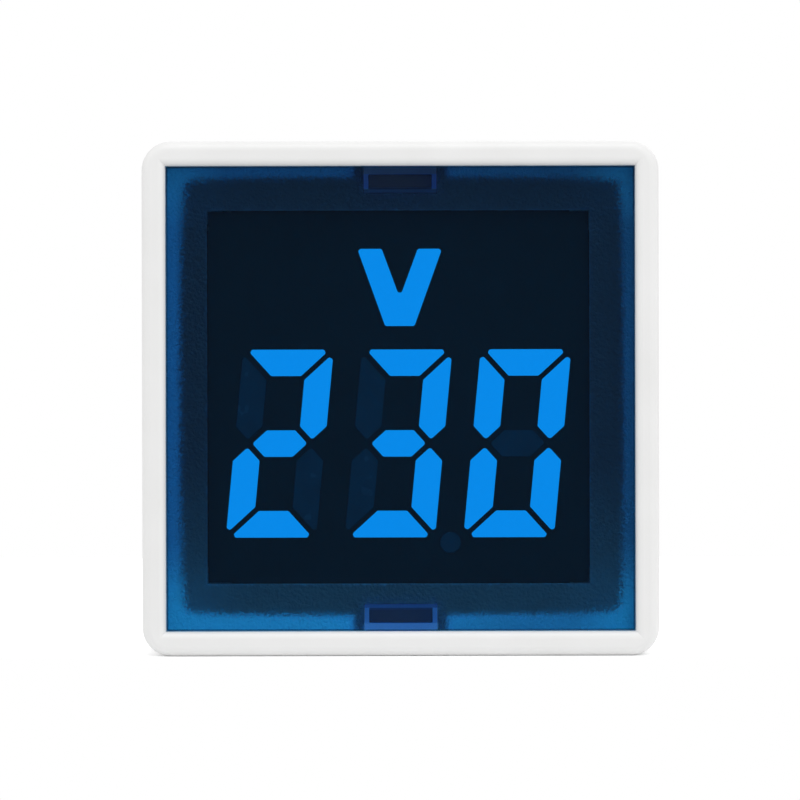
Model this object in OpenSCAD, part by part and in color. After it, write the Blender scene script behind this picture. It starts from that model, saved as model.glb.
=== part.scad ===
// Plug-in mains voltmeter: a square case with a three-digit display in front and a two-pin plug behind.
// The origin is the middle of the plug face. +Y is the way the pins point, +Z is up, and the display
// faces -Y. Depths below are measured from the front rim of the case towards the plug.

/* [Case] */
// Width of the case
case_w = 50; // [48:0.5:60]
// Height of the case
case_h = 49.8; // [48:0.1:60]
// Depth of the case from the front rim to the back of the cover
case_depth = 30; // [29:0.5:40]
// Thickness of the case's side walls
wall = 2; // [1.6:0.1:2.1]
// Radius of the case's four long corners
corner_r = 2.8; // [2.2:0.1:5]
// Rounding of the front outer edge
front_edge_r = 0.9; // [0.4:0.1:1.2]
// Thickness of the rear cover's plate
cover_t = 2.5; // [2.2:0.1:3.5]
// Rounding of the rear outer edge
rear_edge_r = 1.4; // [0.5:0.1:1.6]
// Width and depth of the shadow groove where the two shells meet
seam = 0.35; // [0.2:0.05:0.5]

/* [Bezel] */
// Width of the white frame at the two sides of the lens
bezel_side = 2.3; // [2.25:0.05:3]
// Width of the frame above and below
bezel_level = 2.4; // [2.25:0.05:3]
// Rounding of the frame's inner edge
lip_r = 0.75; // [0.2:0.05:0.9]
// Width of the ledge behind the lens at the two sides
ledge_side = 1.05; // [0.9:0.05:1.6]
// Width of the ledge above and below
ledge_level = 1.2; // [0.9:0.05:1.6]
// Sideways place of the ledge's opening
ledge_x = 0.1; // [-0.2:0.05:0.2]
// Upward place of the ledge's opening
ledge_z = 0.25; // [-0.3:0.05:0.3]
// Radius of the opening's corners
ledge_corner_r = 2; // [0.6:0.1:2.4]
// Thickness of the ledge
ledge_t = 1; // [0.8:0.1:1.6]
// Rounding of the ledge's inner edge
ledge_edge_r = 0.4; // [0.2:0.1:0.7]

/* [Lens] */
// How far the lens lies below the front rim
lens_recess = 0.7; // [0.3:0.1:1.2]
// Thickness of the lens
lens_t = 1.6; // [1.2:0.1:2]
// Space between the lens and the ledge
lens_gap = 1.3; // [0.8:0.1:1.6]
// Width of the clear window
window_w = 37.05; // [30:0.05:38]
// Height of the clear window
window_h = 36.15; // [30:0.05:38]
// How far the window stands proud of the lens's back
window_t = 0.7; // [0.3:0.1:1]
// Width of each snap latch
latch_w = 7.05; // [5:0.05:9]
// Height of each snap latch
latch_h = 2.5; // [2.2:0.1:3]
// Side walls of the pry pocket in each latch
latch_side = 0.5; // [0.4:0.05:0.8]
// Outer wall of the pry pocket
latch_outer = 0.75; // [0.5:0.05:0.9]
// Inner wall of the pry pocket
latch_inner = 0.45; // [0.35:0.05:0.6]
// Floor of the pry pocket
latch_floor = 0.8; // [0.6:0.1:1.2]
// Length of each latch behind the lens
latch_len = 3.6; // [3.2:0.1:5]
// Reach of the hook that snaps behind the bezel
latch_hook = 0.38; // [0.24:0.02:0.38]
// Space beside each latch in its slot
latch_room = 1.1; // [0.3:0.1:2]

/* [Display] */
// Width of the display block
display_w = 36.85; // [36:0.05:38]
// Height of the display block
display_h = 35.95; // [35:0.05:38]
// Depth of the display block
display_t = 9; // [7:0.1:9.5]
// Sideways place of the display
display_x = -0.2; // [-0.5:0.05:0.5]
// Upward place of the display
display_z = 0.15; // [-0.5:0.05:0.5]
// Reading shown
reading = 230; // [100:1:399]
// Height of a digit
digit_h = 18.2; // [16:0.1:18.6]
// Width of a digit
digit_w = 8.75; // [8:0.05:9]
// Distance from one digit to the next
digit_pitch = 11.52; // [11.3:0.02:11.8]
// Height of the digits' middle above the display's middle
digit_z = -4.5; // [-5:0.05:-4]
// Width of a segment
stroke = 2.55; // [2:0.05:2.8]
// Gap between two segments
segment_gap = 0.55; // [0.4:0.05:0.7]
// Gap at each end of the middle segment
middle_gap = 0.65; // [0.4:0.05:0.8]
// Rounding of a segment's corners
segment_r = 0.26; // [0.1:0.02:0.3]
// Lean of the digits in degrees
slant = 5.4; // [0:0.2:8]
// Depth of the resin in each segment
segment_depth = 2.5; // [1.5:0.1:4]
// Diameter of the decimal point
point_d = 2; // [1.4:0.1:2.4]
// Height of the volt sign
sign_h = 7.45; // [6:0.05:8]
// Width of the volt sign
sign_w = 8.2; // [7:0.05:9]
// Width of the volt sign's foot
sign_foot = 2.85; // [2.4:0.05:3.4]
// Width of each arm at the top
sign_arm = 2.35; // [2:0.05:2.8]
// Height of the notch between the arms
sign_notch = 4.75; // [3.6:0.05:5]
// Distance from the digits up to the volt sign
sign_rise = 2.3; // [1.5:0.05:2.8]
// Diameter of the display's leads
lead_d = 0.5; // [0.4:0.05:0.7]
// Leads in each row
lead_count = 8; // [6:1:10]
// Distance between leads
lead_pitch = 2.54; // [2:0.01:2.6]

/* [Board] */
// Thickness of the main board
board_t = 1.6; // [1:0.1:2]
// Height of the feet between display and board
foot_h = 1.5; // [1.2:0.1:2]
// Diameter of those feet
foot_d = 3; // [2:0.1:4]
// Width of the ribs that the board rests on
rib_w = 1.6; // [1:0.1:3]
// Space between the outermost lead and the posts
post_room = 0.6; // [0.4:0.1:2]
// Diameter of the posts that hold the board down
post_d = 4; // [3:0.1:5]
// Distance of a post from the case's outside
post_in = 4.7; // [4.6:0.1:5.6]

/* [Board parts] */
// Length of the film capacitor
film_l = 18; // [15:0.5:20]
// Width of the film capacitor
film_w = 6.5; // [5:0.1:7.5]
// Space between the film capacitor and the rear cover
film_gap = 1.8; // [0.6:0.1:5]
// Diameter of the smoothing capacitor
can_d = 8; // [6:0.1:9]
// Space between the smoothing capacitor and the rear cover
can_gap = 1.8; // [0.6:0.1:5]
// Diameter of the varistor
disc_d = 7; // [5:0.1:8]
// Thickness of the varistor
disc_t = 4; // [3:0.1:4.5]
// Diameter of the fusible resistor
fuse_d = 3.4; // [2.4:0.1:4]
// Length of the fusible resistor
fuse_l = 8.5; // [6:0.1:9.5]
// Length of the meter chip
chip_l = 9.9; // [8:0.1:10.5]
// Width of the meter chip
chip_w = 3.9; // [3.5:0.1:4.4]
// Height of the meter chip
chip_h = 1.5; // [1.2:0.1:2]
// Length of the small chip parts
smd_l = 2; // [1.6:0.1:2.4]
// Width of the small chip parts
smd_w = 1.25; // [0.8:0.05:1.3]
// Height of the chip resistors
resistor_h = 0.55; // [0.4:0.05:0.7]
// Height of the chip capacitors
capacitor_h = 1; // [0.6:0.1:1.2]
// Diameter of the wires' insulation
wire_d = 1.8; // [1.6:0.1:2]
// Diameter of the wires' copper
copper_d = 1.1; // [0.9:0.1:1.2]
// Bend radius of the wires
wire_bend = 4; // [3.6:0.1:5]
// Height at which the wires land on the board
wire_z = 4; // [2.5:0.1:5]

/* [Plug] */
// Diameter of the plug boss
boss_d = 36.5; // [35:0.1:37]
// Length of the plug boss
boss_len = 17; // [15:0.1:18]
// Wall of the plug boss
boss_wall = 2; // [1.6:0.1:2.4]
// Thickness of the plug face
face_t = 3.5; // [3.2:0.1:4.5]
// Rounding at the plug face
boss_edge_r = 1; // [0.4:0.1:1.4]
// Width of the two earth grooves
groove_w = 6.6; // [5.6:0.1:7]
// Distance of each groove's floor from the plug's middle
groove_floor = 7.2; // [6.8:0.1:8]
// Diameter of a plug pin
pin_d = 4.8; // [4:0.1:5]
// Length of a plug pin
pin_len = 19; // [17:0.1:20]
// Distance between the pins
pin_pitch = 19; // [17.5:0.1:20]
// Rounding of a pin's tip
pin_tip_r = 1.9; // [1:0.1:2]
// Diameter of a pin's root inside the plug face
root_d = 5.4; // [5.2:0.1:6]
// Diameter of a pin's flange
flange_d = 7.4; // [7:0.1:8]
// Thickness of a pin's flange
flange_t = 1.5; // [1.2:0.1:2]
// Diameter of a pin's tail
tail_d = 3.6; // [3:0.1:4.2]
// Length of a pin's tail
tail_len = 7; // [6:0.1:8]
// Thickness of the clamp plate over the flanges
clamp_t = 2.6; // [2:0.1:3]
// Height of the clamp plate
clamp_h = 8.6; // [8:0.1:9]

/* [Screws] */
// Diameter of a screw's shank
screw_d = 2.2; // [1.8:0.1:2.5]
// Diameter of a screw's head
head_d = 4.4; // [3.8:0.1:4.8]
// Height of a screw's head
head_t = 1.6; // [1.2:0.1:1.8]
// Length of a cover screw under its head
cover_screw_len = 8; // [6:0.5:9]
// Length of the clamp screw under its head
clamp_screw_len = 5.6; // [4:0.1:6]
// Distance of the cover screws from the case's outside
screw_in = 5; // [4.8:0.1:6]
// Diameter of the bosses that take the cover screws
screw_boss_d = 5.6; // [4.8:0.1:6]
// Length of those bosses
screw_boss_len = 8; // [7:0.1:8.5]
// Thickness of the pads under the cover's screw heads
pad_t = 1.5; // [1:0.1:2]

/* [Fits] */
// Gap around the lens
lens_fit = 0.08; // [0.05:0.01:0.2]
// Gap between lens window and display
display_fit = 0.1; // [0.05:0.01:0.3]
// Gap around each resin filling
resin_fit = 0.03; // [0.02:0.01:0.06]
// Gap between the board and the walls
board_fit = 0.4; // [0.2:0.05:0.5]
// Gap around leads in their holes
lead_fit = 0.15; // [0.05:0.05:0.25]
// Gap between the cover's tongue and the case
tongue_fit = 0.15; // [0.1:0.01:0.25]
// Gap around a pin's root and tail
pin_fit = 0.05; // [0.03:0.01:0.1]
// Gap around a screw's shank in its pilot hole
pilot_fit = 0.05; // [0.03:0.01:0.1]
// Gap around a screw in its clearance hole and recess
screw_fit = 0.3; // [0.2:0.05:0.4]

/* [Hidden] */
$fn = 48;
over = 1;

// Colours of the materials
white_abs = [0.92, 0.92, 0.92];
blue_tint = [0.03, 0.2, 0.5, 0.55];
black_plastic = [0.03, 0.04, 0.05];
lit_blue = [0, 0.54, 0.93];
dark_resin = [0.03, 0.12, 0.2];
nickel = [0.78, 0.77, 0.74];
steel = [0.62, 0.63, 0.65];
board_green = [0.03, 0.16, 0.09];
film_yellow = [0.86, 0.72, 0.2];
can_blue = [0.12, 0.13, 0.2];
disc_blue = [0.1, 0.25, 0.5];
fuse_green = [0.45, 0.62, 0.5];
chip_black = [0.08, 0.08, 0.09];
chip_tan = [0.6, 0.48, 0.34];
wire_brown = [0.45, 0.25, 0.12];
wire_blue = [0.15, 0.3, 0.65];

// Depths from the front rim
front_y = -(boss_len + case_depth);
shell_depth = case_depth - cover_t;
lens_back = lens_recess + lens_t;
ledge_at = lens_back + lens_gap;
ledge_back = ledge_at + ledge_t;
display_at = lens_back + window_t + display_fit;
display_back = display_at + display_t;
board_at = display_back + foot_h;
board_back = board_at + board_t;
pad_at = shell_depth - pad_t;
boss_end_at = case_depth + boss_len;

// Openings and the pieces that lie in them
mouth_w = case_w - 2 * bezel_side;
mouth_h = case_h - 2 * bezel_level;
lens_w = mouth_w - 2 * lens_fit;
lens_h = mouth_h - 2 * lens_fit;
ledge_mouth_w = mouth_w - 2 * ledge_side;
ledge_mouth_h = mouth_h - 2 * ledge_level;
inner_w = case_w - 2 * wall;
inner_h = case_h - 2 * wall;
inner_r = max(corner_r - wall, seam);
board_w = inner_w - 2 * board_fit;
board_h = inner_h - 2 * board_fit;

// Screws: places of the four in the corners, holes and cross recess
screw_x = case_w / 2 - screw_in;
screw_z = case_h / 2 - screw_in;
corners = [for (x = [-screw_x, screw_x], z = [-screw_z, screw_z]) [x, z]];
notch_room = 0.6;
pad_d = min(screw_boss_d, 2 * (screw_in - wall - tongue_fit));
pilot_d = screw_d + 2 * pilot_fit;
recess_d = head_d + 2 * screw_fit;
head_seat_t = 1.7;
cross_w = 0.7;
cross_l = 2.4;
cross_t = 0.9;
screw_tip_d = 0.9;
pilot_end = 0.4;

// Plug: depths inside the boss
face_in = -face_t;
flange_in = face_in - flange_t;
clamp_in = flange_in - clamp_t;
tail_in = flange_in - tail_len;
cup_t = 3;
cup_d = copper_d + 2 * pin_fit;
groove_r = groove_w / 2;
clamp_end = 1;
clamp_flat = 0.1;
clamp_l = pin_pitch + flange_d + 2 * clamp_end;
clamp_r = clamp_h / 2 - clamp_flat;
clamp_post_d = 6;
tongue_t = 1.1;
tongue_h = pad_t;
tongue_w = inner_w - 2 * tongue_fit;
tongue_z = inner_h - 2 * tongue_fit;
cove_r = 1;

// Board parts: places of their middles on the board, sizes, and legs as pitch, count in a row and reach
film_at = [0, 11.4];
film_h = shell_depth - board_back - film_gap;
film_lead_in = 1.5;
film_lead_pitch = film_l - 2 * film_lead_in;
can_at = [10.5, -11];
can_h = shell_depth - board_back - can_gap;
can_lead_pitch = 3.5;
can_groove_r = 0.8;
can_groove_t = 0.5;
can_groove_h = 1.8;
can_rim = 0.4;
disc_edge = 8.6;
disc_at = [-board_w / 2 + disc_edge, 9.6];
disc_lead_pitch = 5;
disc_lift = 1;
fuse_edge = 8.6;
fuse_at = [board_w / 2 - fuse_edge, 9.4];
fuse_lead_out = 1.6;
fuse_lead_pitch = fuse_l + 2 * fuse_lead_out;
fuse_waist = 0.88;
fuse_cap_l = 1.7;
fuse_lift = 0.4;
part_lead_d = 0.7;
lead_tail = 1;
lead_into = 1;
bridge_at = [-13, -3.4];
bridge_size = [4.8, 4, 2.5];
bridge_legs = [2.5, 2, 1];
zener_at = [-13, -10];
zener_size = [4.4, 2.6, 2.2];
zener_legs = [1.6, 1, 0.8];
meter_at = [-1.6, -10];
meter_legs = [1.2, 8, 1];
smd_leg_t = 0.25;
smd_leg_share = 0.32;
smd_lift = 0.1;
smd_pitch = 3;
smd_gap = 0.6;
resistor_row = chip_w / 2 + meter_legs[2] + smd_gap + smd_w / 2;
resistors_each_side = 2;
capacitor_z = 0.5;
wire_x = pin_pitch / 2;
lead_edge = 1.6;
display_lead_in = 2;
lead_row_z = display_h / 2 - lead_edge;
post_x = abs(display_x) + (lead_count - 1) / 2 * lead_pitch + lead_d + post_room + post_d / 2;

// Holes in the board for leads, each as place and diameter of the lead
part_leads = [
    each [for (s = [-1, 1]) film_at + [s * film_lead_pitch / 2, 0]],
    each [for (s = [-1, 1]) can_at + [s * can_lead_pitch / 2, 0]],
    each [for (s = [-1, 1]) disc_at + [0, s * disc_lead_pitch / 2]],
    each [for (s = [-1, 1]) fuse_at + [0, s * fuse_lead_pitch / 2]]
];
display_lead_places = [
    for (i = [0 : lead_count - 1], s = [-1, 1])
        [display_x + (i - (lead_count - 1) / 2) * lead_pitch, display_z + s * lead_row_z]
];

// Outlines: unit vectors, corner arcs and parallel outlines of counter-clockwise polygons
function unit(v) = v / norm(v);
function outward(a, b) = let (d = unit(b - a)) [d[1], -d[0]];
function before(points, i) = points[(i + len(points) - 1) % len(points)];
function after(points, i) = points[(i + 1) % len(points)];
function moved(points, place) = [for (p = points) p + place];
function turned_half(points) = [for (p = points) -p];

// Moves every edge outwards by d
function grown(points, d) = [
    for (i = [0 : len(points) - 1])
        let (n = outward(before(points, i), points[i]), m = outward(points[i], after(points, i)))
        points[i] + (n + m) * d / (1 + n * m)
];

// Arc of radius r that rounds the corner p between its neighbours a and b
arc_steps = 5;
function corner_arc(a, p, b, r) =
    let (
        u = unit(a - p),
        v = unit(b - p),
        half = acos(u * v) / 2,
        c = p + unit(u + v) * r / sin(half),
        from = p + u * r / tan(half) - c,
        to = p + v * r / tan(half) - c
    )
    [for (i = [0 : arc_steps]) c + unit(from * (1 - i / arc_steps) + to * i / arc_steps) * r];

function rounded(points, r) = [
    for (i = [0 : len(points) - 1])
        each corner_arc(before(points, i), points[i], after(points, i), r)
];

// Seven-segment digit, upright and about its own middle
half_w = digit_w / 2;
half_h = digit_h / 2;
mitre = segment_gap / sqrt(2);
middle_mitre = middle_gap / sqrt(2);
function top_bar() = [
    [half_w - mitre, half_h],
    [-half_w + mitre, half_h],
    [-half_w + stroke + mitre, half_h - stroke],
    [half_w - stroke - mitre, half_h - stroke]
];
function middle_bar() = [
    [half_w - stroke / 2 - middle_mitre, 0],
    [half_w - stroke - middle_mitre, stroke / 2],
    [-half_w + stroke + middle_mitre, stroke / 2],
    [-half_w + stroke / 2 + middle_mitre, 0],
    [-half_w + stroke + middle_mitre, -stroke / 2],
    [half_w - stroke - middle_mitre, -stroke / 2]
];
function upper_right_bar() = [
    [half_w, half_h - mitre],
    [half_w - stroke, half_h - stroke - mitre],
    [half_w - stroke, stroke / 2 + mitre],
    [half_w - stroke / 2, mitre],
    [half_w, stroke / 2 + mitre]
];
function reversed(points) = [for (i = [len(points) - 1 : -1 : 0]) points[i]];
function flipped_x(points) = reversed([for (p = points) [-p[0], p[1]]]);
function bar(s) =
    s == "a" ? top_bar() :
    s == "b" ? upper_right_bar() :
    s == "c" ? flipped_x(turned_half(upper_right_bar())) :
    s == "d" ? turned_half(top_bar()) :
    s == "e" ? turned_half(upper_right_bar()) :
    s == "f" ? flipped_x(upper_right_bar()) :
    middle_bar();
function leaning(points) = [for (p = points) [p[0] + p[1] * tan(slant), p[1]]];

// Segments lit for the figures 0 to 9
lit_bars = ["abcdef", "bc", "abdeg", "abcdg", "bcfg", "acdfg", "acdefg", "abc", "abcdefg", "abcdfg"];
digits = [floor(reading / 100), floor(reading / 10) % 10, reading % 10];
function shines(digit, s) = len(search(s, lit_bars[digit])) > 0;
function digit_place(i) = [display_x + (i - 1) * digit_pitch, display_z + digit_z];
function segments(lit) = [
    for (i = [0 : len(digits) - 1], s = "abcdefg")
        if (shines(digits[i], s) == lit) moved(leaning(bar(s)), digit_place(i))
];

// Volt sign and decimal point
sign_shift = 0.15;
sign_base = display_z + digit_z + half_h + sign_rise;
function sign_points() = moved([
    [sign_foot / 2, 0],
    [sign_w / 2, sign_h],
    [sign_w / 2 - sign_arm, sign_h],
    [0, sign_h - sign_notch],
    [-sign_w / 2 + sign_arm, sign_h],
    [-sign_w / 2, sign_h],
    [-sign_foot / 2, 0]
], [display_x + sign_shift, sign_base]);
point_shift = 0.12;
point_drop = 0.5;
point_at = digit_place(1) + [digit_pitch / 2 - half_h * tan(slant) + point_shift, -half_h - point_drop];

// Placing: a flat outline in X and Z becomes a slab that starts at a depth and is t thick
module slab(depth, t) {
    translate([0, front_y + depth + t, 0])
        rotate([90, 0, 0])
            linear_extrude(t)
                children();
}

// A profile of radius and depth, turned about an axis along Y
module turned(x, z, angle = 360) {
    translate([x, 0, z])
        rotate([-90, 0, 0])
            rotate_extrude(angle = angle)
                children();
}

module at(place) {
    translate([place[0], place[1]])
        children();
}

module round_rect(w, h, r) {
    square([w - 2 * r, h], center = true);
    square([w, h - 2 * r], center = true);
    for (x = [-1, 1], z = [-1, 1])
        translate([x * (w / 2 - r), z * (h / 2 - r)])
            circle(r);
}

// Quarter of a disc, on the side of +X and -Y
module quarter_disc(r) {
    intersection() {
        circle(r);
        translate([0, -r])
            square(r);
    }
}

// Section of a block t deep whose two front corners are rounded
module soft_section(w, t, edge) {
    translate([-w / 2, edge])
        square([w, t - edge]);
    translate([-w / 2 + edge, 0])
        square([w - 2 * edge, t]);
    for (side = [0, 1])
        mirror([side, 0])
            translate([w / 2 - edge, edge])
                quarter_disc(edge);
}

// One quarter of a corner pillar: radius r, front edge rounded
module soft_pillar(r, t, edge) {
    translate([0, edge])
        square([r, t - edge]);
    square([r - edge, t]);
    translate([r - edge, edge])
        quarter_disc(edge);
}

// Block with rounded long corners and a rounded front edge that runs round them
module soft_block(w, h, t, r, edge) {
    linear_extrude(h - 2 * r, center = true)
        soft_section(w, t, edge);
    rotate([0, -90, 0])
        linear_extrude(w - 2 * r, center = true)
            soft_section(h, t, edge);
    four_corners(w, h, r)
        soft_pillar(r, t, edge);
}

// A profile turned through each of the four corners of a rectangle w by h
module four_corners(w, h, r) {
    for (q = [0 : 3])
        rotate([0, -90 * q, 0])
            translate([(q % 2 == 0 ? w : h) / 2 - r, 0, -((q % 2 == 0 ? h : w) / 2 - r)])
                turned(0, 0, 90)
                    children();
}

// Section of a hole whose front corners flare out by a rounding
module flare_section(w, depth, end, r) {
    translate([-w / 2, depth - over])
        square([w, end - depth + over]);
    difference() {
        translate([-w / 2 - r, depth - over])
            square([w + 2 * r, over + r]);
        for (x = [-1, 1])
            translate([x * (w / 2 + r), depth + r])
                circle(r);
    }
}

// Rectangular hole with mitred corners and a rounded front edge
module flared_hole(w, h, depth, end, r) {
    translate([0, front_y, 0])
        intersection() {
            linear_extrude(h + 4 * r, center = true)
                flare_section(w, depth, end, r);
            rotate([0, -90, 0])
                linear_extrude(w + 4 * r, center = true)
                    flare_section(h, depth, end, r);
        }
}

// Section of a round corner of such a hole, from its axis outwards
module flare_quarter(corner, depth, end, r) {
    translate([0, depth - over])
        square([corner, end - depth + over]);
    difference() {
        translate([0, depth - over])
            square([corner + r, over + r]);
        translate([corner + r, depth + r])
            circle(r);
    }
}

// Rectangular hole with round corners and a rounded front edge that runs round them
module soft_hole(w, h, depth, end, r, corner) {
    linear_extrude(h - 2 * corner, center = true)
        flare_section(w, depth, end, r);
    rotate([0, -90, 0])
        linear_extrude(w - 2 * corner, center = true)
            flare_section(h, depth, end, r);
    four_corners(w, h, corner)
        flare_quarter(corner, depth, end, r);
}

// Case
module front_case() {
    color(white_abs)
        difference() {
            union() {
                case_shell();
                board_ribs();
                screw_bosses();
            }
            for (c = corners)
                slab(pad_at - screw_boss_len + over, screw_boss_len)
                    at(c)
                        circle(d = pilot_d);
        }
}

module case_shell() {
    difference() {
        translate([0, front_y, 0])
            soft_block(case_w, case_h, shell_depth, corner_r, front_edge_r);
        flared_hole(mouth_w, mouth_h, 0, ledge_at, lip_r);
        translate([ledge_x, front_y, ledge_z])
            soft_hole(
                ledge_mouth_w, ledge_mouth_h,
                ledge_at, ledge_back + over,
                ledge_edge_r, ledge_corner_r
            );
        slab(ledge_back, shell_depth - ledge_back + over)
            round_rect(inner_w, inner_h, inner_r);
        slab(ledge_at, ledge_t + over)
            square([latch_w + 2 * latch_room, inner_h], center = true);
    }
}

// Ribs behind the ledge that the board rests on, a little shorter than the ledge is wide
module board_ribs() {
    rib_short = 0.2;
    side_reach = (inner_w - ledge_mouth_w) / 2 - abs(ledge_x) - rib_short;
    level_reach = (inner_h - ledge_mouth_h) / 2 - abs(ledge_z) - rib_short;
    slab(ledge_back, board_at - ledge_back)
        for (x = [-1, 1], z = [-1, 1]) {
            translate([x * (inner_w - side_reach) / 2, z * post_x])
                square([side_reach, rib_w], center = true);
            translate([x * post_x, z * (inner_h - level_reach) / 2])
                square([rib_w, level_reach], center = true);
        }
}

// Bosses for the cover screws, each with a square web to both walls
module screw_bosses() {
    slab(pad_at - screw_boss_len, screw_boss_len)
        intersection() {
            square([inner_w + wall, inner_h + wall], center = true);
            for (c = corners)
                at(c) {
                    circle(d = screw_boss_d);
                    at([sign(c[0]), sign(c[1])] * screw_in / 2)
                        square(screw_in, center = true);
                }
        }
}

// Lens
module lens() {
    color(blue_tint)
        difference() {
            union() {
                slab(lens_recess, lens_t)
                    square([lens_w, lens_h], center = true);
                slab(lens_back, window_t)
                    translate([display_x, display_z])
                        square([window_w, window_h], center = true);
                for (s = [-1, 1])
                    lens_latch(s);
            }
            for (s = [-1, 1])
                pry_pocket(s);
        }
}

// Snap latch whose hook lies against the back of the bezel
module lens_latch(s) {
    hook_gap = 0.1;
    hook = min(latch_hook, bezel_level - wall + lens_fit - hook_gap);
    edge = lens_h / 2;
    slab(lens_back, latch_len)
        translate([0, s * (edge - latch_h / 2)])
            square([latch_w, latch_h], center = true);
    translate([0, front_y + ledge_at, 0])
        rotate([0, 90, 0])
            linear_extrude(latch_w, center = true)
                polygon([
                    [-s * (edge - latch_outer / 2), 0],
                    [-s * (edge + hook), 0],
                    [-s * (edge - latch_outer / 2), latch_len - lens_gap]
                ]);
}

module pry_pocket(s) {
    pocket_h = latch_h - latch_outer - latch_inner;
    slab(lens_recess - over, lens_t + latch_len - latch_floor + over)
        translate([0, s * (lens_h / 2 - latch_outer - pocket_h / 2)])
            square([latch_w - 2 * latch_side, pocket_h], center = true);
}

// Rear cover with the plug boss
module rear_cover() {
    color(white_abs)
        difference() {
            union() {
                cover_plate();
                boss_shell();
                cover_tongue();
                board_posts();
                clamp_post();
            }
            boss_hollow();
            for (x = [-1, 1])
                turned(x * pin_pitch / 2, 0)
                    translate([0, -face_t - over])
                        square([root_d / 2 + pin_fit, face_t + 2 * over]);
            for (c = corners)
                screw_hole(c);
            turned(0, 0)
                translate([0, flange_in - over])
                    square([pilot_d / 2, clamp_screw_len - clamp_t + over + pilot_end]);
        }
}

module cover_plate() {
    translate([0, -boss_len, 0])
        rotate([0, 0, 180])
            soft_block(case_w, case_h, cover_t - seam, corner_r, rear_edge_r);
    slab(shell_depth, cover_t)
        round_rect(case_w - 2 * seam, case_h - 2 * seam, corner_r - seam);
    for (c = corners)
        slab(pad_at, pad_t + over)
            at(c)
                circle(d = pad_d);
}

// Outline of the boss, or of its hollow when shrunk by the wall
module boss_outline(shrink) {
    difference() {
        circle(d = boss_d - 2 * shrink);
        for (s = [-1, 1]) {
            translate([0, s * (groove_floor + groove_r)])
                circle(groove_r + shrink);
            translate([0, s * (groove_floor + groove_r + boss_d / 2)])
                square([groove_w + 2 * shrink, boss_d], center = true);
        }
    }
}

module boss_shell() {
    difference() {
        turned(0, 0) {
            translate([0, -boss_len - over])
                square([boss_d / 2, boss_len + over - boss_edge_r]);
            translate([0, -boss_edge_r])
                square([boss_d / 2 - boss_edge_r, boss_edge_r]);
            translate([boss_d / 2 - boss_edge_r, -boss_edge_r])
                mirror([0, 1])
                    quarter_disc(boss_edge_r);
            difference() {
                translate([boss_d / 2 - over, -boss_len - over])
                    square([cove_r + over, cove_r + over]);
                translate([boss_d / 2 + cove_r, -boss_len + cove_r])
                    circle(cove_r);
            }
        }
        for (s = [-1, 1])
            slab(case_depth, boss_len + over) {
                translate([0, s * (groove_floor + groove_r)])
                    circle(groove_r);
                translate([0, s * (groove_floor + groove_r + boss_d / 2)])
                    square([groove_w, boss_d], center = true);
            }
    }
}

module boss_hollow() {
    difference() {
        slab(shell_depth - over, cover_t + boss_len - face_t + over)
            boss_outline(boss_wall);
        clamp_post();
    }
}

module cover_tongue() {
    slab(shell_depth - tongue_h, tongue_h)
        difference() {
            round_rect(tongue_w, tongue_z, inner_r);
            round_rect(tongue_w - 2 * tongue_t, tongue_z - 2 * tongue_t, inner_r);
        }
}

// Posts that press the board onto its ribs
module board_posts() {
    slab(board_back, shell_depth - board_back)
        for (x = [-1, 1], z = [-1, 1])
            translate([x * post_x, z * (case_h / 2 - post_in)])
                circle(d = post_d);
}

// Post between the pins that takes the clamp screw
module clamp_post() {
    turned(0, 0)
        translate([0, flange_in])
            square([clamp_post_d / 2, flange_t + over]);
}

module screw_hole(c) {
    slab(pad_at - over, cover_t + pad_t + 2 * over)
        at(c)
            circle(d = screw_d + 2 * screw_fit);
    slab(pad_at + head_seat_t, cover_t + pad_t)
        at(c)
            circle(d = recess_d);
}

// Screw along Y with its head at the given depth, driven towards the front or the back
module screw(x, y, z, length, way) {
    translate([x, y, z])
        rotate([way * 90, 0, 0])
            difference() {
                rotate_extrude()
                    polygon([
                        [0, -head_t],
                        [head_d / 2, -head_t],
                        [head_d / 2, 0],
                        [screw_d / 2, 0],
                        [screw_d / 2, length - screw_d / 2],
                        [screw_tip_d / 2, length],
                        [0, length]
                    ]);
                translate([0, 0, -head_t])
                    for (a = [0, 90])
                        rotate(a)
                            cube([cross_l, cross_w, 2 * cross_t], center = true);
            }
}

module cover_screws() {
    color(steel)
        for (c = corners)
            screw(c[0], front_y + pad_at + head_seat_t, c[1], cover_screw_len, 1);
}

// Plug pins, the clamp plate over their flanges and its screw
module plug_pin(x) {
    color(nickel)
        difference() {
            turned(x, 0) {
                square([pin_d / 2, pin_len - pin_tip_r]);
                square([pin_d / 2 - pin_tip_r, pin_len]);
                translate([pin_d / 2 - pin_tip_r, pin_len - pin_tip_r])
                    mirror([0, 1])
                        quarter_disc(pin_tip_r);
                translate([0, face_in])
                    square([root_d / 2, face_t]);
                translate([0, flange_in])
                    square([flange_d / 2, flange_t]);
                translate([0, tail_in])
                    square([tail_d / 2, tail_len]);
            }
            turned(x, 0)
                translate([0, tail_in - over])
                    square([cup_d / 2, cup_t + over]);
        }
}

module live_pin() {
    plug_pin(pin_pitch / 2);
}

module neutral_pin() {
    plug_pin(-pin_pitch / 2);
}

module pin_clamp() {
    color(black_plastic)
        slab(boss_end_at + clamp_in, clamp_t)
            difference() {
                round_rect(clamp_l, clamp_h, clamp_r);
                for (x = [-1, 1])
                    translate([x * pin_pitch / 2, 0])
                        circle(d = tail_d + 2 * pin_fit);
                circle(d = screw_d + 2 * screw_fit);
            }
}

module clamp_screw() {
    color(steel)
        screw(0, clamp_in, 0, clamp_screw_len, -1);
}

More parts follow.
